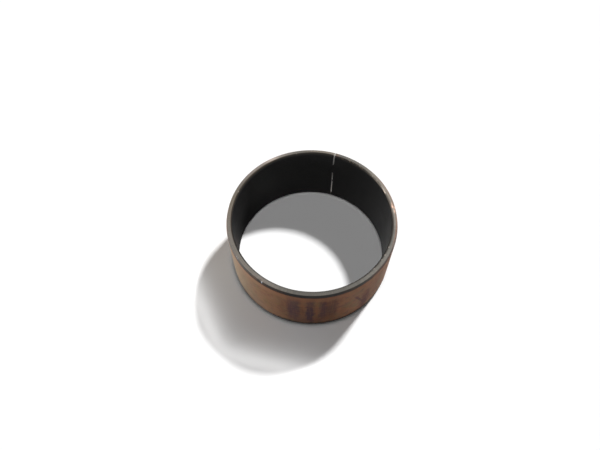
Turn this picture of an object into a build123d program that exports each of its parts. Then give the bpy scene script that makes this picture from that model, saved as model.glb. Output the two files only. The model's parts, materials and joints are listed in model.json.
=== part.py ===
from build123d import *
import os
from math import radians, tan

# Wrapped sliding bushing, in millimetres.
# A flat composite strip, steel with a sliding layer bonded to one face, is chamfered along its two
# long edges and rolled into a ring, sliding layer inwards. Its two short ends meet in an open butt seam.
# Frame: +Z along the bushing's axis, origin on the axis in the plane of the lower end face,
# the seam towards +Y.

# Driving dimensions
bore_diameter = 65.0        # the shaft runs in it
liner_thickness = 0.3       # sliding layer: porous bronze filled and faced with black sliding material
backing_thickness = 2.2     # steel under the sliding layer
bushing_length = 30.0       # along the axis
lead_in_length = 1.8        # outer chamfer at each end, measured along the axis
lead_in_angle = 14.0        # degrees between the outer chamfer and the axis
bore_chamfer = 0.7          # 45 degree chamfer at each end of the bore, through the liner into the steel
seam_gap = 0.5              # opening between the two ends of the strip
seam_edge_break = 0.15      # 45 degree break on the ends of the strip, at the bore and at the outside

# Radii of the rolled layers, from the bore outwards
bore_radius = bore_diameter / 2
bond_radius = bore_radius + liner_thickness
outer_radius = bond_radius + backing_thickness


def closed_ring():
    """Both layers rolled into a ring that starts and ends at +Y, chamfered inside and outside."""
    lead_in_depth = lead_in_length * tan(radians(lead_in_angle))
    lower_corners = [
        (bore_radius, bore_chamfer),
        (bore_radius + bore_chamfer, 0),
        (outer_radius - lead_in_depth, 0),
        (outer_radius, lead_in_length),
    ]
    upper_corners = [(radius, bushing_length - height) for radius, height in reversed(lower_corners)]
    section = make_face(Plane.YZ * Polyline(*lower_corners, *upper_corners, close=True))
    return revolve(section, Axis.Z)


def seam_slot():
    """Cutter for the butt seam: a slot along the axis that widens at 45 degrees where it leaves the wall."""
    half_gap = seam_gap / 2
    flare = seam_edge_break + seam_gap
    right_side = [
        (half_gap + flare, bore_radius + seam_edge_break - flare),
        (half_gap, bore_radius + seam_edge_break),
        (half_gap, outer_radius - seam_edge_break),
        (half_gap + flare, outer_radius - seam_edge_break + flare),
    ]
    left_side = [(-x, y) for x, y in reversed(right_side)]
    return extrude(make_face(Polyline(*right_side, *left_side, close=True)), bushing_length)


def inside_bond():
    """Everything within the cylinder where the two layers meet, its closing edge at the seam."""
    core = Cylinder(bond_radius, bushing_length, align=(Align.CENTER, Align.CENTER, Align.MIN))
    return core.rotate(Axis.Z, 90)


rolled_wall = closed_ring() - seam_slot()
steel_backing = rolled_wall - inside_bond()
sliding_liner = rolled_wall & inside_bond()

os.makedirs("parts", exist_ok=True)
export_step(steel_backing, "parts/steel_backing.step")
export_step(sliding_liner, "parts/sliding_liner.step")
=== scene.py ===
"""Dresses a wrapped sliding bushing: a steel strip with a thin copper flash and a black sliding layer,
rolled into a ring and left open at its butt seam.

The frame is in metres, with +Z along the bushing's axis and the seam towards +Y. Sizes of the bushing
itself are in millimetres. A turn is an angle round the axis, in degrees from the seam towards +X.
"""

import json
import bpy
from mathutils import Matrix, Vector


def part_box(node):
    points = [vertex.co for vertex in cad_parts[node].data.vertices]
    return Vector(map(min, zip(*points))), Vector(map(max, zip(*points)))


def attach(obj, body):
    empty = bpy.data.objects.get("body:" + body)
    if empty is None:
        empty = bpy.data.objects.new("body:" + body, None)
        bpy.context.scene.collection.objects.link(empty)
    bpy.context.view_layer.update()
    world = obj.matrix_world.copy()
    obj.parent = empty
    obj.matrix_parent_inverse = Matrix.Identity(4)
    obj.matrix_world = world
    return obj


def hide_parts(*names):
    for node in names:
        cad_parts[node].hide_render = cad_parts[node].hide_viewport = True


bl_info = {
    "name": "Wrapped Sliding Bushing",
    "version": (1, 0, 0),
    "blender": (4, 5, 0),
    "location": "View3D > Sidebar > Bushing",
    "description": "Models and finishes a wrapped, copper flashed sliding bushing and its stage",
    "category": "Object",
}

from math import asin, atan2, ceil, cos, degrees, hypot, pi, radians, sin, tan

import bmesh
import bpy
from bpy.props import FloatProperty, FloatVectorProperty, IntProperty, PointerProperty
from mathutils import Matrix, Vector, noise

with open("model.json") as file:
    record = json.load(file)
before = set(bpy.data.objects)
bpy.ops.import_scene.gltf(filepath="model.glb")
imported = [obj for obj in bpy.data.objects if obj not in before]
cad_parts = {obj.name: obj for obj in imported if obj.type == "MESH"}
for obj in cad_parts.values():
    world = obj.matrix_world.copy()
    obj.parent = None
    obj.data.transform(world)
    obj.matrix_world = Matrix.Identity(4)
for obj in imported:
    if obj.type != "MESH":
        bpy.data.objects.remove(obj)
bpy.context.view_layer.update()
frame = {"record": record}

MM = 0.001
# Edges that turn by more than this are crisp.
CRISP = radians(10)
# Faces that come this near to a lip, in mm, belong to it.
NEAR = 0.01
backing_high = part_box("steel_backing")[1] / MM
liner_low, liner_high = [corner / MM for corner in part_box("sliding_liner")]
mounts = {mount["name"]: mount for mount in frame["record"]["mounts"]}
bore_radius = mounts["bore"]["dims"]["r_mm"]
# The chamfer runs at 45 degrees through the liner's lowest corner, where it meets the steel.
bore_chamfer = liner_low.z + liner_high.x - bore_radius


def srgb(red, green, blue):
    """A colour given as it looks on a screen, 0 to 255, in the linear values that Blender works in."""
    shares = [channel / 255 for channel in (red, green, blue)]
    return tuple(s / 12.92 if s <= 0.04045 else ((s + 0.055) / 1.055) ** 2.4 for s in shares)


def number_property(name, description, default, **settings):
    return FloatProperty(name=name, description=description, default=default, **settings)


def colour_property(name, description, colour):
    return FloatVectorProperty(
        name=name, description=description, subtype="COLOR", min=0, max=1, default=srgb(*colour)
    )


# ---- What a user would change ------------------------------------------------


class BushingSizes(bpy.types.PropertyGroup):
    """Sizes of the bushing, in millimetres, and how finely it is modelled."""

    outer_radius: number_property("Outer radius", "Radius of the copper flashed wall", backing_high.x)
    bond_radius: number_property("Bond radius", "Where the sliding layer meets the steel", liner_high.x)
    bore_radius: number_property("Bore radius", "Radius the shaft runs in", bore_radius)
    length: number_property("Length", "Length along the axis", backing_high.z)
    bore_chamfer: number_property("Bore chamfer", "45 degree chamfer at each end of the bore", bore_chamfer)
    lead_in_length: number_property("Lead-in length", "Outer chamfer at each end, along the axis", 1.8)
    lead_in_angle: number_property(
        "Lead-in angle", "Angle between the outer chamfer and the axis", radians(14), subtype="ANGLE"
    )
    seam_gap: number_property("Seam gap", "Opening between the two lips", 0.5)
    lip_break: number_property("Lip break", "Bevel along both lips of the seam", 0.15)
    edge_break: number_property("Edge break", "Rounding of the turned edges", 0.05)
    steps: IntProperty(name="Steps", description="Faces round half of the ring", default=540, min=36)


class BushingColours(bpy.types.PropertyGroup):
    """Colours of the finishes."""

    copper: colour_property("Copper", "Thin copper flash, aged to a brown", (141, 111, 86))
    copper_red: colour_property("Red copper", "Fresher patches in the flash", (163, 108, 78))
    copper_olive: colour_property("Olive copper", "Greenish patches in the flash", (131, 112, 80))
    # Brown copper is also painted shade on the upper chamfer's sides and a brown painted reflection low in
    # the bore.
    copper_brown: colour_property("Brown copper", "Soft edges of the stains", (104, 68, 48))
    # Pale copper is also painted sheen on one side of the wall.
    copper_pale: colour_property("Pale copper", "Where the flash is rubbed thin", (164, 144, 120))
    tarnish: colour_property("Tarnish", "Purple brown stains in the flash", (88, 64, 78))
    # Turned steel is also painted shade along the wall's foot.
    turned_steel: colour_property("Turned steel", "Outer chamfers, darkened by oil", (47, 44, 40))
    # The end faces' grey is also painted light on the wall, the upper chamfer, the bored edge, the cut
    # layer and the bore.
    milled_steel: colour_property("End faces", "Grey end faces of the ring", (93, 90, 84))
    bored_steel: colour_property("Bored edge", "Chamfer between the end face and the bore", (44, 39, 33))
    sheared_steel: colour_property("Sheared steel", "The strip's cut ends in the seam", (140, 138, 132))
    # Bare steel is also painted highlight on stretches of the end faces and on the burrs' glints.
    bare_steel_and_highlight: colour_property("Bare steel", "Fresh burrs, nicks and polished stretches", (206, 190, 178))
    fresh_copper: colour_property("Fresh copper", "Copper smeared on the end face", (206, 164, 142))
    # Fresh cut is a painted glint at the nick, partly fresh bare steel.
    fresh_cut_and_glint: colour_property("Fresh cut", "Bright steel where the outer edge is nicked", (222, 228, 240))
    bronze: colour_property("Bronze", "Sintered bronze under the sliding film", (112, 88, 60))
    # The film's black is also painted shade on the outer chamfers.
    film: colour_property("Sliding film", "Black film of polymer and graphite", (24, 23, 23))


class BushingStage(bpy.types.PropertyGroup):
    """Light, floor and camera."""

    sun_level: number_property("Sun", "Share of the white floor's light that the sun gives", 0.82)
    sun_turn: number_property("Sun turn", "Side the sun stands on, in degrees", 19.5)
    sun_height: number_property("Sun height", "Degrees above the floor", 47.5)
    sun_size: number_property("Sun size", "Angle the sun spans", radians(5), subtype="ANGLE")
    sky_level: number_property("Sky", "Share of the white floor's light that the sky gives", 0.04)
    bore_level: number_property("Bore light", "Share of light added inside the ring from above", 0.04)
    floor_bounce: number_property("Floor bounce", "Share of its light that the floor throws back", 0.3)
    lens: number_property("Lens", "Focal length for a 36 mm frame", 31.16)
    view_turn: number_property("View turn", "Side the camera stands on", 162)
    view_height: number_property("View height", "Degrees above the floor", 59.51)
    view_roll: number_property("View roll", "Tilt of the camera, in degrees", -0.09)
    view_distance: number_property("View distance", "From the camera to the foot of the axis, mm", 237.24)
    view_right: number_property("Offset right", "Of the foot of the axis in the picture, mm", 4.87)
    view_up: number_property("Offset up", "Of the foot of the axis in the picture, mm", -12.0)


# ---- Mesh tools --------------------------------------------------------------


def turn_of(point):
    """Degrees from the seam, towards +X, from 0 to 360."""
    return degrees(atan2(point.x, point.y)) % 360


def radius_of(point):
    return hypot(point.x, point.y)


def at(turn, radius, height):
    """The point at that turn, radius and height."""
    return Vector((radius * sin(radians(turn)), radius * cos(radians(turn)), height))


def bump(distance, reach):
    """1 at no distance, falling smoothly to 0 at the reach."""
    share = min(abs(distance) / reach, 1)
    return 1 - share * share * (3 - 2 * share)


def bevel(bm, parts, width, affect):
    """Rounds off points or edges. Only edges are clamped where their bevels would overlap."""
    bmesh.ops.bevel(
        bm,
        geom=parts,
        offset=width,
        offset_type="OFFSET",
        segments=2,
        profile=0.5,
        affect=affect,
        material=-1,
        clamp_overlap=affect == "EDGES",
    )


def section(lower, length, rounding, finest):
    """A bmesh of the cut face through the wall, whose upper half mirrors the lower one.

    The corners are radius and height. finest gives the longest part allowed of an edge.
    """
    corners = lower + [(radius, length - height) for radius, height in reversed(lower)]
    bm = bmesh.new()
    bm.faces.new([bm.verts.new((0, radius, height)) for radius, height in corners])
    bevel(bm, bm.verts[:], rounding, "VERTICES")
    for edge in bm.edges[:]:
        pieces = ceil(edge.calc_length() / finest(edge))
        if pieces > 1:
            bmesh.ops.subdivide_edges(bm, edges=[edge], cuts=pieces - 1)
    return bm


def rolled(bm, half_gap, steps):
    """Sweeps the section from one lip of the seam to the opposite side, and mirrors it to the other lip."""
    start = asin(half_gap / min(vert.co.y for vert in bm.verts))
    bmesh.ops.rotate(bm, verts=bm.verts, cent=(0, 0, 0), matrix=Matrix.Rotation(-start, 3, "Z"))
    swept = bmesh.ops.spin(
        bm,
        geom=bm.verts[:] + bm.edges[:] + bm.faces[:],
        cent=(0, 0, 0),
        axis=(0, 0, -1),
        angle=pi - start,
        steps=steps,
        use_merge=False,
        use_duplicate=False,
    )
    far_end = [part for part in swept["geom_last"] if isinstance(part, bmesh.types.BMFace)]
    bmesh.ops.delete(bm, geom=far_end, context="FACES_ONLY")
    # The far end comes to lie exactly in the plane that it is mirrored in.
    for vert in bm.verts:
        if vert.co.y < 0 and abs(vert.co.x) < half_gap / 10:
            vert.co.x = 0
    bmesh.ops.mirror(bm, geom=bm.verts[:] + bm.edges[:] + bm.faces[:], axis="X", merge_dist=0.001)
    for end in lip_faces(bm):
        for vert in end.verts:
            vert.co.x = half_gap if vert.co.x > 0 else -half_gap
    bmesh.ops.recalc_face_normals(bm, faces=bm.faces)
    return bm


def lip_faces(bm):
    """The two flat ends of the strip, which face each other across the seam."""
    return [face for face in bm.faces if len(face.verts) > 4]


def break_lips(bm, width, reaches):
    """Bevels the lips' edges where reaches(edge) says so."""
    edges = {edge for end in lip_faces(bm) for edge in end.edges if reaches(edge)}
    bevel(bm, list(edges), width, "EDGES")


def add_object(name, data):
    """A new object at the origin."""
    made = bpy.data.objects.new(name, data)
    bpy.context.scene.collection.objects.link(made)
    return made


def add_mesh(name, bm, materials):
    """The bmesh as a new object at the origin."""
    mesh = bpy.data.meshes.new(name)
    bm.to_mesh(mesh)
    bm.free()
    for material in materials:
        mesh.materials.append(material)
    return add_object(name, mesh)


def finished(name, bm, materials, material_of, stands_for, slot):
    """Makes the bmesh a piece of the object: in metres, smooth round the axis, crisp at its edges."""
    for face in bm.faces:
        face.material_index = material_of(face)
        face.smooth = True
    bmesh.ops.scale(bm, vec=(MM, MM, MM), verts=bm.verts)
    piece = add_mesh(name, bm, materials)
    piece.data.set_sharp_from_angle(angle=CRISP)
    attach(piece, "root")
    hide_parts(stands_for)


# ---- Shader tools ------------------------------------------------------------


class Wires:
    """A node tree that is being wired. An input takes a value or the socket that feeds it."""

    def __init__(self, owner):
        """Takes the tree of a group, or empties that of a material or a world."""
        if not isinstance(owner, bpy.types.NodeTree):
            owner.use_nodes = True
            owner.node_tree.nodes.clear()
            owner = owner.node_tree
        self.tree = owner

    def feed(self, socket, value):
        if isinstance(value, bpy.types.NodeSocket):
            self.tree.links.new(value, socket)
        else:
            socket.default_value = value

    def place(self, kind, inputs=None, **settings):
        """A node with its settings made and its inputs fed."""
        node = self.tree.nodes.new(kind)
        for key, value in settings.items():
            setattr(node, key, value)
        for key, value in (inputs or {}).items():
            self.feed(node.inputs[key], value)
        return node

    def sums(self, operation, *values):
        return self.place("ShaderNodeMath", dict(enumerate(values)), operation=operation).outputs[0]

    def plus(self, value, other):
        return self.sums("ADD", value, other)

    def minus(self, value, other):
        return self.sums("SUBTRACT", value, other)

    def times(self, value, other):
        return self.sums("MULTIPLY", value, other)

    def over(self, value, other):
        return self.sums("DIVIDE", value, other)

    def larger(self, value, other):
        return self.sums("MAXIMUM", value, other)

    def apart(self, value, other):
        """How far two values lie apart."""
        return self.sums("ABSOLUTE", self.minus(value, other))

    def ramp(self, value, low, high, to_low=0, to_high=1):
        """A value between low and high, spread smoothly from to_low to to_high."""
        inputs = {"Value": value, "From Min": low, "From Max": high, "To Min": to_low, "To Max": to_high}
        return self.place("ShaderNodeMapRange", inputs, interpolation_type="SMOOTHSTEP").outputs["Result"]

    def blend(self, share, *colours):
        """Two colours mixed by a share."""
        first, other = [c if isinstance(c, bpy.types.NodeSocket) else (*c, 1) for c in colours]
        return self.place("ShaderNodeMix", {0: share, 6: first, 7: other}, data_type="RGBA").outputs[2]

    def mottled(self, vector, scale, detail=4, roughness=0.5):
        """Noise from 0 to 1."""
        inputs = {"Vector": vector, "Scale": scale, "Detail": detail, "Roughness": roughness}
        return self.place("ShaderNodeTexNoise", inputs).outputs["Fac"]

    def stretched(self, vector, factors):
        inputs = {0: vector, 1: factors}
        return self.place("ShaderNodeVectorMath", inputs, operation="MULTIPLY").outputs[0]

    def combined(self, x, y, z=0):
        return self.place("ShaderNodeCombineXYZ", {"X": x, "Y": y, "Z": z}).outputs[0]


def shared(name, inputs, outputs=("Mask",)):
    """Turns a function that wires a group's sockets into one that gives the group, which is built once."""
    vectors = ("Object", "Unrolled")

    def decorate(wire):
        def group():
            if name in bpy.data.node_groups:
                return bpy.data.node_groups[name]
            tree = bpy.data.node_groups.new(name, "ShaderNodeTree")
            for way, sockets in (("INPUT", inputs), ("OUTPUT", outputs)):
                for socket in sockets:
                    kind = "NodeSocketVector" if socket in vectors else "NodeSocketFloat"
                    tree.interface.new_socket(socket, in_out=way, socket_type=kind)
            entry = tree.nodes.new("NodeGroupInput").outputs
            leave = tree.nodes.new("NodeGroupOutput").inputs
            for socket, result in zip(leave, wire(Wires(tree), entry)):
                tree.links.new(result, socket)
            return tree

        return group

    return decorate


@shared("Round the axis", ("Object",), ("Turn", "Radius", "Height", "Unrolled"))
def round_the_axis(wires, entry):
    """Where a point lies on the ring: its turn in degrees, and its radius, height and way round in mm."""
    spot = wires.place("ShaderNodeSeparateXYZ", {0: entry["Object"]}).outputs
    # Both are turned over so that the angle's jump falls in the seam.
    back = [wires.times(spot[axis], -1) for axis in "XY"]
    turn = wires.sums("MULTIPLY_ADD", wires.sums("ARCTAN2", *back), degrees(1), 180)
    flat = wires.combined(spot["X"], spot["Y"])
    reach = wires.place("ShaderNodeVectorMath", {0: flat}, operation="LENGTH").outputs["Value"]
    radius, height = wires.over(reach, MM), wires.over(spot["Z"], MM)
    around = wires.times(turn, radians(bpy.context.scene.bushing_sizes.outer_radius))
    return turn, radius, height, wires.combined(around, height, radius)


@shared("Fine lines", ("Unrolled", "Pitch", "Length"), ("Lines",))
def fine_lines(wires, entry):
    """Fine lines along the way round, as rolling and turning leave them, from 0 to 1."""
    along, across = wires.over(1, entry["Length"]), wires.over(1, entry["Pitch"])
    drawn = wires.stretched(entry["Unrolled"], wires.combined(along, across, across))
    return [wires.mottled(drawn, 1, 3, 0.6)]


@shared(
    "Stain",
    ("Unrolled", "Turn", "Height", "Middle turn", "Middle height", "Half turn", "Half height", "Softness"),
)
def stain(wires, entry):
    """A patch with straight, streaky sides, a share of 1 inside and 0 outside."""
    # The stains run across the strip, so their edges are ragged in streaks of that direction.
    streaks = wires.mottled(wires.stretched(entry["Unrolled"], (1.1, 0.16, 0.2)), 1, 4, 0.65)
    blotches = wires.mottled(entry["Unrolled"], 0.45, 3, 0.6)
    ragged = wires.minus(wires.plus(streaks, blotches), 1)
    masks = []
    for way, frayed, softest in (("turn", 4, 1), ("height", 6, 3)):
        away = wires.apart(entry[way.capitalize()], entry["Middle " + way])
        away = wires.sums("MULTIPLY_ADD", ragged, frayed, away)
        inside = wires.minus(entry["Half " + way], away)
        masks.append(wires.ramp(wires.over(inside, wires.times(entry["Softness"], softest)), -1, 1))
    return [wires.times(*masks)]


@shared("Stretch", ("Turn", "Middle turn", "Half turn", "Softness"))
def stretch(wires, entry):
    """A stretch of the ring between two turns, with soft ends, from 0 to 1."""
    inside = wires.minus(entry["Half turn"], wires.apart(entry["Turn"], entry["Middle turn"]))
    return [wires.ramp(wires.over(inside, entry["Softness"]), -1, 1)]


@shared("Scratches", ("Unrolled", "Slant", "Sparse"))
def scratches(wires, entry):
    """A few thin, straight scratches at a slant, from 0 to 1."""
    inputs = {"Vector": entry["Unrolled"], "Angle": entry["Slant"]}
    turned = wires.place("ShaderNodeVectorRotate", inputs, rotation_type="Z_AXIS").outputs[0]
    inputs = {"Vector": wires.stretched(turned, (0.09, 1.6, 0.2)), "Scale": 1}
    cells = wires.place("ShaderNodeTexVoronoi", inputs, feature="DISTANCE_TO_EDGE").outputs
    here = wires.mottled(entry["Unrolled"], 0.16, 2)
    kept = wires.ramp(here, entry["Sparse"], wires.plus(entry["Sparse"], 0.1))
    return [wires.times(wires.ramp(cells["Distance"], 0.03, 0), kept)]


@shared("Specks", ("Unrolled", "Spacing", "Size"))
def specks(wires, entry):
    """Small dots of dust or pits, from 0 to 1."""
    inputs = {"Vector": entry["Unrolled"], "Scale": wires.over(1, entry["Spacing"])}
    cells = wires.place("ShaderNodeTexVoronoi", inputs).outputs
    chosen = wires.place("ShaderNodeSeparateColor", {0: cells["Color"]}).outputs[0]
    return [wires.times(wires.ramp(cells["Distance"], entry["Size"], 0), wires.ramp(chosen, 0.6, 0.8))]


class Finish(Wires):
    """A material in the making: its shader, its colour so far and where its points lie on the ring."""

    def __init__(self, name, colour):
        self.material = bpy.data.materials.new(name)
        super().__init__(self.material)
        self.colour = colour
        self.shader = self.place("ShaderNodeBsdfPrincipled")
        self.place("ShaderNodeOutputMaterial", {0: self.shader.outputs[0]})
        spot = self.place("ShaderNodeTexCoord").outputs["Object"]
        self.ring = self.place("ShaderNodeGroup", {"Object": spot}, node_tree=round_the_axis()).outputs
        self.height = self.ring["Height"]

    def use(self, group, *values):
        """Places a shared group. The ring feeds the inputs that it has a name for, the values the rest."""
        node = self.place("ShaderNodeGroup", node_tree=group)
        rest = iter(values)
        for socket in node.inputs:
            self.feed(socket, self.ring.get(socket.name) or next(rest))
        return node.outputs[0]

    def lines(self, pitch, length):
        return self.use(fine_lines(), pitch, length)

    def stretch(self, middle_turn, half_turn, softness, share=1):
        """A stretch of the ring, from 0 to the share."""
        return self.times(self.use(stretch(), middle_turn, half_turn, softness), share)

    def scratches(self, slant, sparse):
        return self.use(scratches(), radians(slant), sparse)

    def clouds(self, size, detail=4):
        """Noise whose patches are about that many mm across."""
        return self.mottled(self.ring["Unrolled"], 1 / size, detail)

    def streaks(self, factors, detail=3, roughness=0.6):
        """Noise with that many patches to the mm along the way round, the height and the radius."""
        return self.mottled(self.stretched(self.ring["Unrolled"], factors), 1, detail, roughness)

    def slash(self, turn, height, lean, half_height, half_width):
        """A long scratch that leans that many degrees of turn for each mm of height, from 0 to 1."""
        upwards = self.minus(self.height, height)
        line = self.sums("MULTIPLY_ADD", upwards, lean, turn)
        wobble = self.sums("MULTIPLY_ADD", self.clouds(1.5), 1.6, -0.8)
        off = self.apart(self.plus(self.ring["Turn"], wobble), line)
        along = self.ramp(self.sums("ABSOLUTE", upwards), half_height, half_height * 0.6)
        return self.times(self.ramp(off, half_width * 2, half_width * 0.3), along)

    def marked(self, name):
        """A value painted on the mesh's points."""
        return self.place("ShaderNodeAttribute", attribute_name=name).outputs["Fac"]

    def coat(self, other, share, *ends):
        """Lays another colour over the colour so far, by a share, or by its ramp between ends."""
        self.colour = self.blend(self.ramp(share, *ends) if ends else share, self.colour, other)

    def tint(self, other, *stretches, mask=1):
        """Lays another colour on stretches: middle turn, half size, softness and share."""
        for each in stretches:
            self.coat(other, self.times(self.stretch(*each), mask))

    def relief(self, height, depth):
        """Feeds the shader's normal with a bump of that depth in mm."""
        inputs = {"Height": height, "Distance": depth * MM, "Strength": 1}
        self.feed(self.shader.inputs["Normal"], self.place("ShaderNodeBump", inputs).outputs[0])

    def done(self, roughness, metallic, specular):
        """The material, with its colour and its gloss on the shader."""
        values = {"Roughness": roughness, "Metallic": metallic, "Specular IOR Level": specular}
        for name, value in {"Base Color": self.colour, **values}.items():
            self.feed(self.shader.inputs[name], value)
        return self.material


# ---- Finishes ----------------------------------------------------------------

# The ends of a ramp are low, high, and what those become. A stretch is its middle turn, half size,
# softness and share.

# Stains from handling: middle turn and height, half sizes, softness, and how brown and how purple.
STAINS = (
    (150.3, 16.6, 4.7, 8.6, 2.2, 0.6, 0.34),
    (154.9, 16, 2.4, 8, 1.5, 0.2, 0.7),
    (163.6, 12.5, 2.6, 8.2, 1.4, 0.2, 0.9),
    (163.4, 21.5, 2.2, 4.5, 1.6, 0.2, 0.6),
    (165, 5.2, 11, 2.4, 2, 0.1, 0.5),
    (174.6, 16, 4, 10.5, 2, 0.05, 0.7),
    (180, 15, 4, 6, 2, 0.25, 0.1),
    (168.6, 15.5, 1.6, 2.5, 1.2, 0.4, 0.2),
    (123.8, 8.5, 3.4, 8, 2.6, 0.5, 0.6),
    (143.6, 21.4, 1.2, 2, 1, 0.35, 0),
    (141, 11, 3, 4, 2, 0.25, 0),
    (115, 9, 6, 7, 5, 0.3, 0.1),
    (111, 24, 2.2, 1.6, 1.5, 0.3, 0.1),
    (99, 26, 4, 1.5, 3, 0.8, 0.1),
    (74, 13, 4.5, 8, 5, 0.4, 0.2),
    (87, 16, 2, 7, 3.5, 0.2, 0.4),
    (291, 15, 4.5, 8, 5, 0.4, 0.2),
    (330, 9, 2.5, 5, 3.5, 0.2, 0.4),
    (339, 15, 2, 8, 3.5, 0.4, 0.2),
)
# Slashes among them: turn, height, lean, half height, half width and share.
SLASHES = ((127.6, 12.5, 0.72, 9, 0.85, 0.65), (137, 4.5, 0, 5, 0.2, 0.4))


def copper_flash(colours):
    """Thin copper on the outer wall: rolling lines, a side made paler by painted sheen, tarnish, dark
    stains, and painted shade along its foot.
    """
    finish = Finish("Copper flash", colours.copper)
    height = finish.height
    # Broad red and brown patches, a finer purple bloom, and short streaks across the strip.
    red = finish.ramp(finish.clouds(6, 5), 0.35, 0.65, 0, 0.35)
    finish.coat(colours.copper_red, finish.plus(red, finish.stretch(134, 40, 26, 0.5)))
    finish.coat(colours.copper_olive, finish.clouds(4.3, 5), 0.48, 0.68, 0, 0.7)
    bloom = finish.clouds(1.7, 5)
    finish.coat(colours.tarnish, bloom, 0.45, 0.72, 0, 0.4)
    streaks = finish.streaks((1.4, 0.12, 0.2), 4)
    finish.coat(colours.copper_red, streaks, 0.5, 0.72, 0, 0.4)
    # Painted sheen makes one side paler, and the upper edge is brighter.
    painted_sheen_side = finish.stretch(246, 22, 22)
    finish.coat(colours.copper_pale, finish.times(painted_sheen_side, 0.75))
    # More painted sheen on that side, pale in one stretch and grey in another.
    finish.tint(colours.copper_pale, (228, 20, 16, 0.38))
    finish.tint(colours.milled_steel, (217, 14, 14, 0.18))
    lower = finish.ramp(height, 12, 6)
    finish.tint(colours.fresh_copper, (194, 14, 10, 0.09), (140, 8, 6, 0.11), mask=lower)
    redder = ((159.4, 1.2, 1.5, 0.5), (168.9, 1.4, 1.5, 0.5), (186, 10, 10, 0.25))
    finish.tint(colours.copper_red, *redder)
    bright = finish.times(finish.ramp(height, 23.5, 26.5), finish.minus(1, painted_sheen_side))
    finish.coat(colours.copper_red, finish.times(bright, 0.5))
    finish.tint(colours.copper_pale, (206, 16, 14, 0.25), (112, 10, 14, 0.2), mask=bright)
    below_edge = finish.times(bright, finish.ramp(height, 27.8, 26.4))
    finish.tint(colours.fresh_copper, (160, 26, 12, 0.08), mask=below_edge)
    brown = purple = 0
    for *where, brown_share, purple_share in STAINS:
        mask = finish.use(stain(), *where)
        brown = finish.larger(brown, finish.times(mask, brown_share))
        purple = finish.larger(purple, finish.times(mask, purple_share))
    # They thin out towards the upper edge, and the strip's fibres show in them.
    fibres = finish.ramp(finish.streaks((1.9, 0.1, 0.2)), 0.3, 0.65, 0.75, 1.15)
    thinned = finish.times(finish.ramp(height, 28.2, 23.5, 0.3, 1), fibres)
    finish.coat(colours.copper_brown, finish.times(brown, thinned))
    purple = finish.times(purple, thinned)
    for *where, share in SLASHES:
        purple = finish.larger(purple, finish.times(finish.slash(*where), share))
    finish.coat(colours.tarnish, purple)
    # Painted shade darkens the wall along the lower chamfer, and on the paler side it also greys a wider
    # band above the foot.
    low = finish.plus(height, finish.ramp(finish.clouds(2), 0.3, 0.7, 0.5, -0.5))
    painted_foot_shade = finish.plus(finish.ramp(low, 3, 2.3, 0, 0.7), finish.ramp(low, 5, 2.4, 0, 0.15))
    finish.coat(colours.turned_steel, painted_foot_shade)
    finish.coat(colours.milled_steel, finish.times(finish.ramp(low, 7, 2.5, 0, 0.6), painted_sheen_side))
    lines = finish.lines(0.22, 14)
    finish.coat(colours.copper_pale, lines, 0.35, 0.75, 0, 0.22)
    marks = finish.scratches(8, 0.5)
    finish.coat(colours.copper_pale, finish.times(marks, 0.3))
    finish.relief(finish.plus(lines, finish.times(marks, -0.5)), 0.006)
    roughness = finish.ramp(finish.plus(purple, bloom), 0.3, 1.3, 0.42, 0.6)
    return finish.done(roughness, metallic=0.08, specular=0.006)


def turned_steel(colours):
    """The outer chamfers: fine turning lines in oily steel, with brown and olive patches, painted light on
    one side, painted shade at the front, at the sides and on the lower chamfer, and painted glints.
    """
    finish = Finish("Turned steel", colours.turned_steel)
    height = finish.height
    lines = finish.lines(0.12, 30)
    finish.coat(colours.copper_brown, finish.clouds(3), 0.42, 0.68, 0, 0.5)
    upper = finish.ramp(height, 14, 16)
    # Painted light makes the upper chamfer greyer and lighter on one side.
    finish.tint(colours.milled_steel, (222, 16, 20, 0.55), mask=upper)
    finish.coat(colours.milled_steel, lines, 0.45, 0.7, 0, 0.25)
    # Painted shade makes the upper chamfer brown and darker at both sides; along its foot it is brown where
    # copper is left.
    finish.tint(colours.copper_brown, (88, 26, 12, 0.7), (262, 22, 8, 0.7), mask=upper)
    finish.tint(colours.film, (98, 18, 10, 0.65), (266, 16, 8, 0.3), mask=upper)
    finish.coat(colours.copper_brown, finish.times(finish.ramp(height, 28.9, 28.3, 0, 0.8), upper))
    # Painted shade blackens the front of the upper chamfer and all of the lower one.
    finish.tint(colours.film, (160, 26, 15, 0.9), mask=finish.ramp(height, 28.2, 28.8))
    finish.coat(colours.film, upper, 0, 1, 0.55, 0)
    # Painted glints, partly fresh bare steel, at the nick and on the outer edge.
    finish.coat(colours.fresh_cut_and_glint, finish.marked("burr_and_glint"))
    finish.relief(lines, 0.01)
    return finish.done(0.45, metallic=0.3, specular=0.1)


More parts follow.
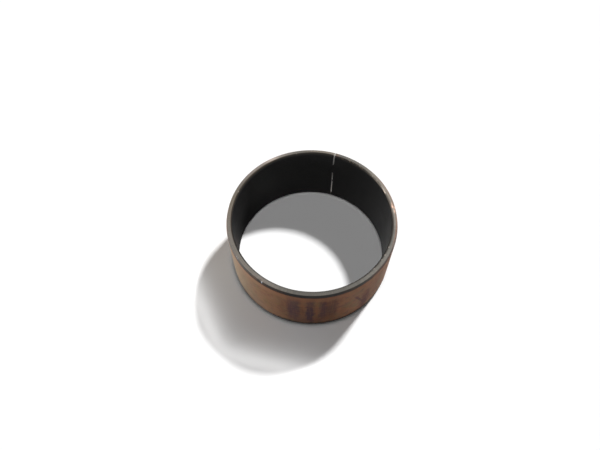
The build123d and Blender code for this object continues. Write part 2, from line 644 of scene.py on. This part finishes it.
def milled_steel(colours):
    """The end faces: grey steel with painted highlights, painted light and painted shade in stretches, and
    bright burrs, painted glints and smears of copper where the mesh is marked.
    """
    finish = Finish("Milled steel", colours.milled_steel)
    radius = finish.ring["Radius"]
    lines = finish.lines(0.16, 22)
    cloudy = finish.clouds(4)
    finish.coat(colours.turned_steel, cloudy, 0.35, 0.7, 0, 0.35)
    hatch = finish.streaks((1.6, 0.2, 0.3), 3, 0.7)
    finish.coat(colours.copper_pale, hatch, 0.5, 0.72, 0, 0.2)
    finish.coat(colours.turned_steel, hatch, 0.48, 0.3, 0, 0.35)
    # Stretches with painted highlights and painted light, warm stretches, and darker stretches, two of them
    # painted shade, at the front and on one side.
    finish.tint(colours.bare_steel_and_highlight, (311.5, 4.5, 4, 0.42), (304, 20, 12, 0.25))
    finish.tint(colours.bare_steel_and_highlight, (224, 26, 14, 0.11), (193, 8, 6, 0.08))
    warm = ((263, 14, 8, 0.18), (50, 24, 10, 0.12), (352, 12, 6, 0.14))
    finish.tint(colours.copper_pale, *warm)
    darker_stretches = ((24, 28, 14, 0.22), (92, 17, 8, 0.4), (152, 24, 10, 0.42))
    finish.tint(colours.turned_steel, *darker_stretches)
    # On one side the outer half keeps some copper, and on the other the inner half is darker.
    outer = finish.ramp(radius, 33.85, 34.2)
    finish.tint(colours.copper_brown, (64, 26, 10, 0.4), (84, 10, 8, 0.35), mask=outer)
    finish.tint(colours.turned_steel, (296, 20, 12, 0.5), mask=finish.ramp(radius, 33.8, 33.3))
    # The inner edge is dark, partly in its own colour and partly as painted shade, which is deepest on both
    # sides of the seam and lifted on the lit side.
    inner = finish.ramp(finish.apart(finish.ring["Turn"], 180), 110, 165, 0.15, 0.75)
    inner = finish.times(finish.ramp(radius, 33.6, 33.25), inner)
    lit_side = finish.ramp(finish.stretch(56, 26, 10), 0, 1, 1, 0.1)
    finish.coat(colours.bored_steel, finish.times(inner, lit_side))
    wide = finish.times(finish.ramp(radius, 33.6, 33.4), finish.stretch(350, 10, 6, 0.7))
    finish.coat(colours.film, wide)
    finish.tint(colours.copper_brown, (2.2, 1.2, 0.7, 0.3))
    finish.coat(colours.bored_steel, lines, 0.4, 0.75, 0, 0.3)
    finish.coat(colours.bare_steel_and_highlight, finish.marked("burr_and_glint"))
    finish.coat(colours.fresh_copper, finish.marked("smear"))
    finish.relief(finish.plus(lines, hatch), 0.008)
    roughness = finish.plus(finish.times(wide, 0.4), finish.ramp(cloudy, 0.3, 0.7, 0.38, 0.5))
    return finish.done(roughness, metallic=0.3, specular=0.3)


def bored_steel(colours):
    """The chamfer between the end face and the bore, dark, with painted light in stretches and bright
    flecks beside the seam.
    """
    finish = Finish("Bored edge", colours.bored_steel)
    lines = finish.lines(0.1, 8)
    finish.coat(colours.turned_steel, lines, 0.3, 0.7)
    # Painted light makes the bored edge lighter on two stretches, and a painted sheen, brighter and more
    # metallic, lies on one side.
    finish.tint(colours.milled_steel, (64, 44, 10, 0.95), (158, 52, 14, 0.8))
    finish.tint(colours.bronze, (275, 42, 14, 0.1))
    painted_light = finish.stretch(52, 20, 10)
    finish.coat(colours.bare_steel_and_highlight, finish.times(painted_light, 0.25))
    flecks = finish.ramp(finish.streaks((1.3, 0.8, 0.8), 3, 0.7), 0.5, 0.66)
    flecks = finish.times(flecks, finish.stretch(32, 26, 10))
    finish.coat(colours.copper_pale, finish.times(flecks, 0.7))
    finish.coat(colours.bare_steel_and_highlight, finish.marked("burr_and_glint"))
    finish.relief(finish.plus(lines, flecks), 0.012)
    return finish.done(0.5, metallic=finish.ramp(painted_light, 0, 1, 0.14, 0.6), specular=0.2)


def sheared_steel(colours):
    """The strip's cut ends, which show as a grey line in the seam."""
    finish = Finish("Sheared lips", colours.sheared_steel)
    tears = finish.streaks((1, 1.2, 0.5), 4)
    finish.coat(colours.turned_steel, tears, 0.4, 0.62)
    finish.coat(colours.copper, finish.height, 8, 2, 0, 0.45)
    finish.coat(colours.milled_steel, finish.marked("bridge"))
    finish.relief(tears, 0.02)
    return finish.done(0.45, metallic=0.4, specular=0.3)


def sliding_film(colours):
    """The black running face: matt, slightly cloudy, with faint rolling marks, a grey painted sheen on one
    side, and painted shade and a brown painted reflection on the other.
    """
    finish = Finish("Sliding film", colours.film)
    height = finish.height
    cloudy = finish.clouds(5)
    lighter, darker = (tuple(share * channel for channel in colours.film) for share in (2, 0.3))
    finish.coat(lighter, cloudy, 0.3, 0.75, 0, 0.5)
    finish.coat(lighter, finish.clouds(0.9, 3), 0.45, 0.7, 0, 0.6)
    finish.tint(lighter, (30, 30, 8, 0.4))
    finish.coat(colours.bored_steel, finish.times(finish.scratches(4, 0.55), 0.35))
    # A painted sheen greys one side; across from that, painted shade darkens it, with a brown painted
    # reflection near the foot.
    finish.tint(colours.milled_steel, (98, 22, 26, 0.4))
    finish.tint(darker, (264, 18, 14, 0.8))
    finish.tint(colours.copper_brown, (238, 12, 10, 0.15), mask=finish.ramp(height, 20, 12))
    finish.relief(finish.lines(0.4, 9), 0.004)
    # The running side is smoother than the side across from it, most of all near the foot.
    foot = finish.times(finish.ramp(height, 20, 4, 0, 0.2), finish.stretch(300, 40, 20))
    matt = finish.plus(finish.stretch(264, 32, 16, 0.4), foot)
    roughness = finish.plus(finish.ramp(cloudy, 0.3, 0.7, 0.29, 0.36), matt)
    return finish.done(roughness, metallic=0, specular=0.12)


def cut_layer(colours):
    """The sliding layer where it is cut: bronze grains set in the black filling, greyed by painted light in
    two stretches.
    """
    finish = Finish("Cut sliding layer", colours.film)
    finish.coat(colours.bronze, finish.times(finish.use(specks(), 0.12, 0.45), 0.35))
    # Painted light makes the cut layer greyer on the stretches where the bored edge is lighter.
    painted_light = finish.larger(finish.stretch(62, 50, 14), finish.stretch(158, 52, 14))
    finish.coat(colours.milled_steel, finish.times(painted_light, 0.3))
    return finish.done(0.5, metallic=0.1, specular=0.2)


# ---- Pieces ------------------------------------------------------------------


class BUSHING_OT_steel_backing(bpy.types.Operator):
    """Models the rolled steel backing, with its chamfers, its seam lips, a nick and small burrs"""

    bl_idname = "bushing.steel_backing"
    bl_label = "Steel backing"

    # Longest edges of the section in mm: on the wall, and near the upper and the lower end face.
    wall_edge, upper_edge, lower_edge = 4.0, 0.2, 0.5
    # Only points this near the top are moved, in mm.
    worn_depth = 1.0
    # How far across and down the inner edge is worn, and its waves: depth in mm, degrees and seed.
    edge_reach, edge_depth = 0.12, 0.3
    waves = ((0.05, 7, 5), (0.03, 1, 9))
    # Small tongues of metal pushed over the inner edge of the upper end face: turn and brightness, the
    # brightness partly a painted glint.
    burrs = (
        (12.0, 0.25),
        (21.0, 0.3),
        (34.0, 0.4),
        (39.0, 0.3),
        (96.9, 0.6),
        (103.6, 0.6),
        (107.9, 0.4),
        (116.8, 0.4),
        (274.2, 0.5),
        (331.0, 0.25),
    )
    burr_half, burr_reach, burr_spread = 0.8, 0.2, 1.5
    # The long burr beside them, from its soft start to its torn end, and how its reach grows.
    rolled_start, rolled_end, rolled_reach = 44.0, 51.5, 0.38
    rolled_growth, rolled_bright = 0.7, 0.5
    # The nick on the outer edge: its middle and half width in degrees, its depth inwards and down.
    nick_turn, nick_half, nick_depth, nick_drop = 197.9, 1.7, 0.42, 0.35
    # Bright spots on the outer edge, painted glints: turn, half turn, reach in mm and brightness.
    glints = ((196.2, 0.5, 0.45, 1.0), (219.5, 0.35, 0.3, 0.5), (221.0, 0.35, 0.3, 0.5))
    # The burr that bridges the seam: its thickness, its reach and how far it sags.
    bridge_depth, bridge_reach, bridge_droop = 0.12, 0.42, 0.06
    # Copper dragged across the end face: turn, radius, half width and half depth in mm, and brightness.
    smears = (
        (63.4, 33.55, 1.1, 0.5, 0.95),
        (61.2, 33.7, 1.1, 0.3, 0.5),
        (67.2, 33.95, 1.2, 0.35, 0.55),
        (64.4, 34.3, 0.8, 0.4, 0.5),
    )
    # How far they fade past their half sizes, and how deep and how finely the face is dented there.
    smear_fade, dent, dents_per_mm, face_depth = 1.2, 0.05, 3.0, 0.1

    def execute(self, context):
        sizes, colours = context.scene.bushing_sizes, context.scene.bushing_colours
        self.rim_inner = sizes.bore_radius + sizes.bore_chamfer
        self.rim_outer = sizes.outer_radius - sizes.lead_in_length * tan(sizes.lead_in_angle)
        lower = [
            (sizes.bond_radius, self.rim_inner - sizes.bond_radius),
            (self.rim_inner, 0),
            (self.rim_outer, 0),
            (sizes.outer_radius, sizes.lead_in_length),
        ]
        cut = section(lower, sizes.length, sizes.edge_break, self.finest)
        bm = rolled(cut, sizes.seam_gap / 2, sizes.steps)
        outside = self.rim_outer - sizes.edge_break
        break_lips(bm, sizes.lip_break, lambda edge: min(radius_of(v.co) for v in edge.verts) > outside)
        self.wear(bm, sizes)
        self.bridge(bm, sizes)
        finishes = (copper_flash, turned_steel, milled_steel, bored_steel, sheared_steel)
        materials = [finish(colours) for finish in finishes]
        names = ("steel_backing", "copper_flashed_steel")
        finished("steel_backing_dressed", bm, materials, self.material_of, *names)
        return {"FINISHED"}

    def finest(self, edge):
        """Longest edge of the section, fine across the end faces and their chamfers."""
        sizes = bpy.context.scene.bushing_sizes
        middle = (edge.verts[0].co + edge.verts[1].co) / 2
        if edge.calc_length() > sizes.length / 2:
            return self.wall_edge if middle.y > self.rim_outer else sizes.length
        return self.upper_edge if middle.z > sizes.length / 2 else self.lower_edge

    def wear(self, bm, sizes):
        """Moves points of the upper end face: an uneven inner edge, burrs, a nick and a dented smear, and
        marks burrs, painted glints and smears to be coloured.
        """
        burr_and_glint = bm.verts.layers.float.new("burr_and_glint")
        smear = bm.verts.layers.float.new("smear")
        for vert in bm.verts:
            radius, turn = radius_of(vert.co), turn_of(vert.co)
            depth = sizes.length - vert.co.z
            if depth > self.worn_depth:
                continue
            at_inner_edge = bump(radius - self.rim_inner, self.edge_reach) * bump(depth, self.edge_depth)
            if at_inner_edge > 0:
                waves = [
                    deep * noise.noise(Vector((turn / long, 0, seed))) for deep, long, seed in self.waves
                ]
                tongue = max(bump(turn - middle, self.burr_half) for middle, _ in self.burrs)
                bright = max(share * bump(turn - middle, self.burr_half) for middle, share in self.burrs)
                along = (turn - self.rolled_start) / (self.rolled_end - self.rolled_start)
                rolled_over = along**self.rolled_growth if 0 < along < 1 else 0.0
                reach = sum(waves) + self.burr_reach * tongue + self.rolled_reach * rolled_over
                self.shift(vert, -reach * at_inner_edge)
                bright = max(bright, self.rolled_bright * rolled_over)
                vert[burr_and_glint] = min(1.0, bright * at_inner_edge * self.burr_spread)
            nick = bump(turn - self.nick_turn, self.nick_half)
            if nick > 0 and radius > self.rim_outer - self.nick_depth:
                bite = (radius - self.rim_outer + self.nick_depth) / self.nick_depth
                vert.co.z -= self.nick_drop * nick * min(bite, 1.0)
            for middle, half, reach, share in self.glints:
                glint = share * bump(turn - middle, half) * bump(radius - self.rim_outer, reach)
                vert[burr_and_glint] = max(vert[burr_and_glint], glint)
            for middle, spot, wide, deep, share in self.smears:
                off = hypot(radians(turn - middle) * radius / wide, (radius - spot) / deep)
                vert[smear] = max(vert[smear], share * bump(off, self.smear_fade))
            if depth < self.face_depth:
                vert.co.z -= self.dent * vert[smear] * abs(noise.noise(vert.co * self.dents_per_mm))

    def bridge(self, bm, sizes):
        """Closes the top of the seam with a thin burr from one lip."""
        bridged = bm.verts.layers.float.new("bridge")
        lip = next(face for face in lip_faces(bm) if face.calc_center_median().x < 0)
        cut = bmesh.ops.bisect_plane(
            bm,
            geom=[lip, *lip.edges, *lip.verts],
            plane_co=(0, 0, sizes.length - self.bridge_depth),
            plane_no=(0, 0, 1),
        )
        faces = [part for part in cut["geom"] if isinstance(part, bmesh.types.BMFace)]
        top = max(faces, key=lambda face: face.calc_center_median().z)
        for vert in top.verts:
            vert[bridged] = 1.0
        raised = bmesh.ops.extrude_face_region(bm, geom=[top])["geom"]
        bmesh.ops.delete(bm, geom=[top], context="FACES_ONLY")
        for vert in [part for part in raised if isinstance(part, bmesh.types.BMVert)]:
            vert.co.x += self.bridge_reach
            vert.co.z -= self.bridge_droop

    def shift(self, vert, outwards):
        """Moves a point along its radius."""
        radius = radius_of(vert.co)
        vert.co.x *= 1 + outwards / radius
        vert.co.y *= 1 + outwards / radius

    def material_of(self, face):
        """0 wall, 1 outer chamfers, 2 end faces, 3 bored edge, 4 lips, by where and how a face lies."""
        sizes = bpy.context.scene.bushing_sizes
        middle = face.calc_center_median()
        radius = radius_of(middle)
        if abs(middle.x) <= sizes.seam_gap / 2 + NEAR and middle.y > 0:
            return 4
        if sizes.lead_in_length < middle.z < sizes.length - sizes.lead_in_length:
            return 0
        if radius > self.rim_outer - sizes.edge_break / 2:
            return 1
        return 2 if radius > self.rim_inner - sizes.edge_break / 2 else 3


class BUSHING_OT_sliding_liner(bpy.types.Operator):
    """Models the black sliding layer, with a torn stretch of film that hangs into the seam"""

    bl_idname = "bushing.sliding_liner"
    bl_label = "Sliding liner"

    # Rounding of the layer's edges, longest edge along the bore, and how deep its cut face starts, in mm.
    rounding, bore_edge, skin = 0.02, 0.5, 0.1
    # Stretches where the film of one lip covers the gap: middle height, half height and reach in mm.
    torn_film = ((21.0, 4.4, 0.56), (16.6, 4.2, 0.12), (12.4, 0.7, 0.3), (-0.5, 4.5, 0.42))
    # How far into the layer and along it the film is pulled.
    pulled_depth, pulled_reach = 0.15, 0.6
    # Only points this near the seam's middle are pulled, in mm.
    pulled_zone = 1.0

    def execute(self, context):
        sizes, colours = context.scene.bushing_sizes, context.scene.bushing_colours
        lower = [
            (sizes.bond_radius, sizes.bore_chamfer - sizes.bond_radius + sizes.bore_radius),
            (sizes.bore_radius, sizes.bore_chamfer),
        ]
        cut = section(lower, sizes.length, self.rounding, self.finest)
        bm = rolled(cut, sizes.seam_gap / 2, sizes.steps)
        inside = sizes.bore_radius + self.rounding * 1.5
        break_lips(bm, sizes.lip_break, lambda edge: max(radius_of(v.co) for v in edge.verts) < inside)
        for vert in bm.verts:
            self.tear(vert, sizes)
        materials = [sliding_film(colours), cut_layer(colours)]
        finished("sliding_liner_dressed", bm, materials, self.material_of, "sliding_liner", "sliding_layer")
        return {"FINISHED"}

    def finest(self, edge):
        """Longest edge of the section, fine along the bore so that its lip can tear."""
        sizes = bpy.context.scene.bushing_sizes
        middle = (edge.verts[0].co + edge.verts[1].co) / 2
        long_way = edge.calc_length() > sizes.length / 2
        return sizes.length if long_way and middle.y > sizes.bore_radius + self.skin else self.bore_edge

    def tear(self, vert, sizes):
        """Pulls the film's edge at one lip across the gap."""
        if not (0 < vert.co.x < self.pulled_zone and vert.co.y > 0):
            return
        pull = 0
        for middle, half, reach in self.torn_film:
            pull = max(pull, reach * min(2 * bump(vert.co.z - middle, half), 1))
        above_bore = radius_of(vert.co) - sizes.bore_radius - sizes.lip_break
        past_lip = vert.co.x - sizes.seam_gap / 2 - sizes.lip_break
        pull *= bump(max(above_bore, 0), self.pulled_depth)
        vert.co.x -= pull * bump(max(past_lip, 0), self.pulled_reach)

    def material_of(self, face):
        """0 running face, 1 where the layer is cut."""
        sizes = bpy.context.scene.bushing_sizes
        middle = face.calc_center_median()
        at_end = min(middle.z, sizes.length - middle.z) < sizes.bore_chamfer - self.rounding
        at_lip = abs(middle.x) < sizes.seam_gap / 2 + NEAR and middle.y > 0
        under_skin = radius_of(middle) > sizes.bore_radius + self.skin
        return 1 if at_end or (at_lip and under_skin) else 0


# ---- Stage -------------------------------------------------------------------


class BUSHING_OT_stage(bpy.types.Operator):
    """Lays the pale floor and sets the sky, the sun, the soft panels and the camera"""

    bl_idname = "bushing.stage"
    bl_label = "Stage"

    # The left panel is a little cool, against the warm light that comes off the copper.
    white = (1.0, 1.0, 1.0)
    cool = (0.95, 1.0, 1.06)
    # Name, colour, turn, height angle, level on a wall that faces it, distance, width and height in
    # m, and how far it leans towards the floor. The two strips lift the far end of the shadow.
    panels = (
        ("Left panel", cool, 256.8, 1.0, 1.08, 0.6, 0.4, 0.018, 0.0),
        ("Right panel", white, 104.0, 1.0, 0.14, 0.6, 0.4, 0.018, 0.0),
        ("Top panel", white, 150.0, 89.9, 0.15, 3.0, 0.2, 0.2, 0.0),
        ("Front strip", white, 175.8, 6.5, 0.033, 0.0554, 0.049, 0.004, 83.5),
        ("Side strip", white, 226.0, 6.5, 0.037, 0.0554, 0.053, 0.004, 83.5),
    )

    def execute(self, context):
        stage = context.scene.bushing_stage
        self.lay_floor(stage)
        self.set_sky(stage)
        self.set_sun(stage)
        for panel in self.panels:
            self.set_panel(*panel)
        self.set_bore_light(stage, context.scene.bushing_sizes)
        self.set_camera(stage)
        context.scene.view_settings.view_transform = "Standard"
        return {"FINISHED"}

    def lay_floor(self, stage):
        """A white floor that shows the object's shadow, and throws back only part of its light."""
        bm = bmesh.new()
        bmesh.ops.create_grid(bm, x_segments=1, y_segments=1, size=4.0)
        material = bpy.data.materials.new("Pale floor")
        wires = Wires(material)
        grey = (stage.floor_bounce,) * 3
        colour = wires.blend(self.seen(wires), grey, (1, 1, 1))
        paper = wires.place("ShaderNodeBsdfDiffuse", {"Color": colour})
        wires.place("ShaderNodeOutputMaterial", {0: paper.outputs[0]})
        floor = add_mesh("floor", bm, [material])

    def seen(self, wires):
        """1 for what the camera, a gloss or a glass shows, and 0 for what only lights."""
        path = wires.place("ShaderNodeLightPath").outputs
        either = wires.larger(path["Is Camera Ray"], path["Is Glossy Ray"])
        return wires.larger(either, path["Is Transmission Ray"])

    def set_sky(self, stage):
        world = bpy.data.worlds.new("Pale sky")
        bpy.context.scene.world = world
        wires = Wires(world)
        strength = wires.ramp(self.seen(wires), 0, 1, stage.sky_level, 1)
        sky = wires.place("ShaderNodeBackground", {"Color": (1, 1, 1, 1), "Strength": strength})
        wires.place("ShaderNodeOutputWorld", {0: sky.outputs[0]})

    def set_sun(self, stage):
        sun = bpy.data.lights.new("Sun", "SUN")
        sun.energy = stage.sun_level * pi / sin(radians(stage.sun_height))
        sun.angle = stage.sun_size
        self.hang("Sun", sun, stage.sun_turn, stage.sun_height, 1.0)

    def set_panel(self, name, colour, turn, height, level, distance, width, tall, lean):
        panel = bpy.data.lights.new(name, "AREA")
        panel.shape = "RECTANGLE"
        panel.color = colour
        panel.size = width
        panel.size_y = tall
        panel.energy = level * (pi * distance) ** 2
        lamp = self.hang(name, panel, turn, height, distance)
        lamp.rotation_euler.rotate_axis("X", radians(-lean))
        lamp.visible_camera = False

    def set_bore_light(self, stage, sizes):
        """A narrow light above the bushing, whose edge falls on its upper end face."""
        distance, short_of_edge = 0.6, 1
        spot = bpy.data.lights.new("Bore light", "SPOT")
        spot.energy = stage.bore_level * (2 * pi * distance) ** 2
        lit_radius = sizes.outer_radius - short_of_edge
        spot.spot_size = 2 * atan2(lit_radius, distance / MM - sizes.length)
        spot.spot_blend = 0.02
        spot.shadow_soft_size = 0.005
        self.hang("Bore light", spot, 0.0, 90.0, distance)

    def hang(self, name, light, turn, height, distance):
        """A lamp that far from the bushing, on the side of that turn, aimed at it."""
        lamp = add_object(name, light)
        flat = cos(radians(height)) * distance
        lamp.location = at(turn, flat, sin(radians(height)) * distance)
        lamp.rotation_euler = lamp.location.to_track_quat("Z", "Y").to_euler()
        return lamp

    def set_camera(self, stage):
        """The camera on its side and at its height, with the foot of the axis at its offset."""
        forward = -at(stage.view_turn, cos(radians(stage.view_height)), sin(radians(stage.view_height)))
        right = forward.cross(Vector((0, 0, 1))).normalized()
        up = right.cross(forward)
        foot = stage.view_right * right + stage.view_up * up + stage.view_distance * forward
        roll = Matrix.Rotation(radians(-stage.view_roll), 3, forward)
        axes = Matrix((roll @ right, roll @ up, -forward)).transposed()
        camera = bpy.data.cameras.new("Camera")
        camera.sensor_width = 36
        camera.lens = stage.lens
        camera.clip_start = 0.01
        holder = add_object("Camera", camera)
        holder.matrix_world = Matrix.Translation(-foot * MM) @ axes.to_4x4()
        bpy.context.scene.camera = holder


class BUSHING_PT_panel(bpy.types.Panel):
    """Lists what can be changed, and the steps that make it"""

    bl_label = "Sliding bushing"
    bl_idname = "BUSHING_PT_panel"
    bl_space_type = "VIEW_3D"
    bl_region_type = "UI"
    bl_category = "Bushing"

    def draw(self, context):
        for title, group in zip(("Sizes", "Colours", "Stage"), GROUPS):
            box = self.layout.box()
            box.label(text=title)
            values = getattr(context.scene, GROUPS[group])
            for name in group.__annotations__:
                box.prop(values, name)
        for operator in OPERATORS:
            self.layout.operator(operator.bl_idname)


GROUPS = {BushingSizes: "bushing_sizes", BushingColours: "bushing_colours", BushingStage: "bushing_stage"}
OPERATORS = (BUSHING_OT_steel_backing, BUSHING_OT_sliding_liner, BUSHING_OT_stage)


def register():
    for group, name in GROUPS.items():
        bpy.utils.register_class(group)
        setattr(bpy.types.Scene, name, PointerProperty(type=group))
    for part in (*OPERATORS, BUSHING_PT_panel):
        bpy.utils.register_class(part)


def unregister():
    for part in (BUSHING_PT_panel, *reversed(OPERATORS)):
        bpy.utils.unregister_class(part)
    for group, name in reversed(GROUPS.items()):
        delattr(bpy.types.Scene, name)
        bpy.utils.unregister_class(group)


def main():
    register()
    bpy.ops.bushing.steel_backing()
    bpy.ops.bushing.sliding_liner()
    bpy.ops.bushing.stage()


if __name__ == "__main__":
    main()
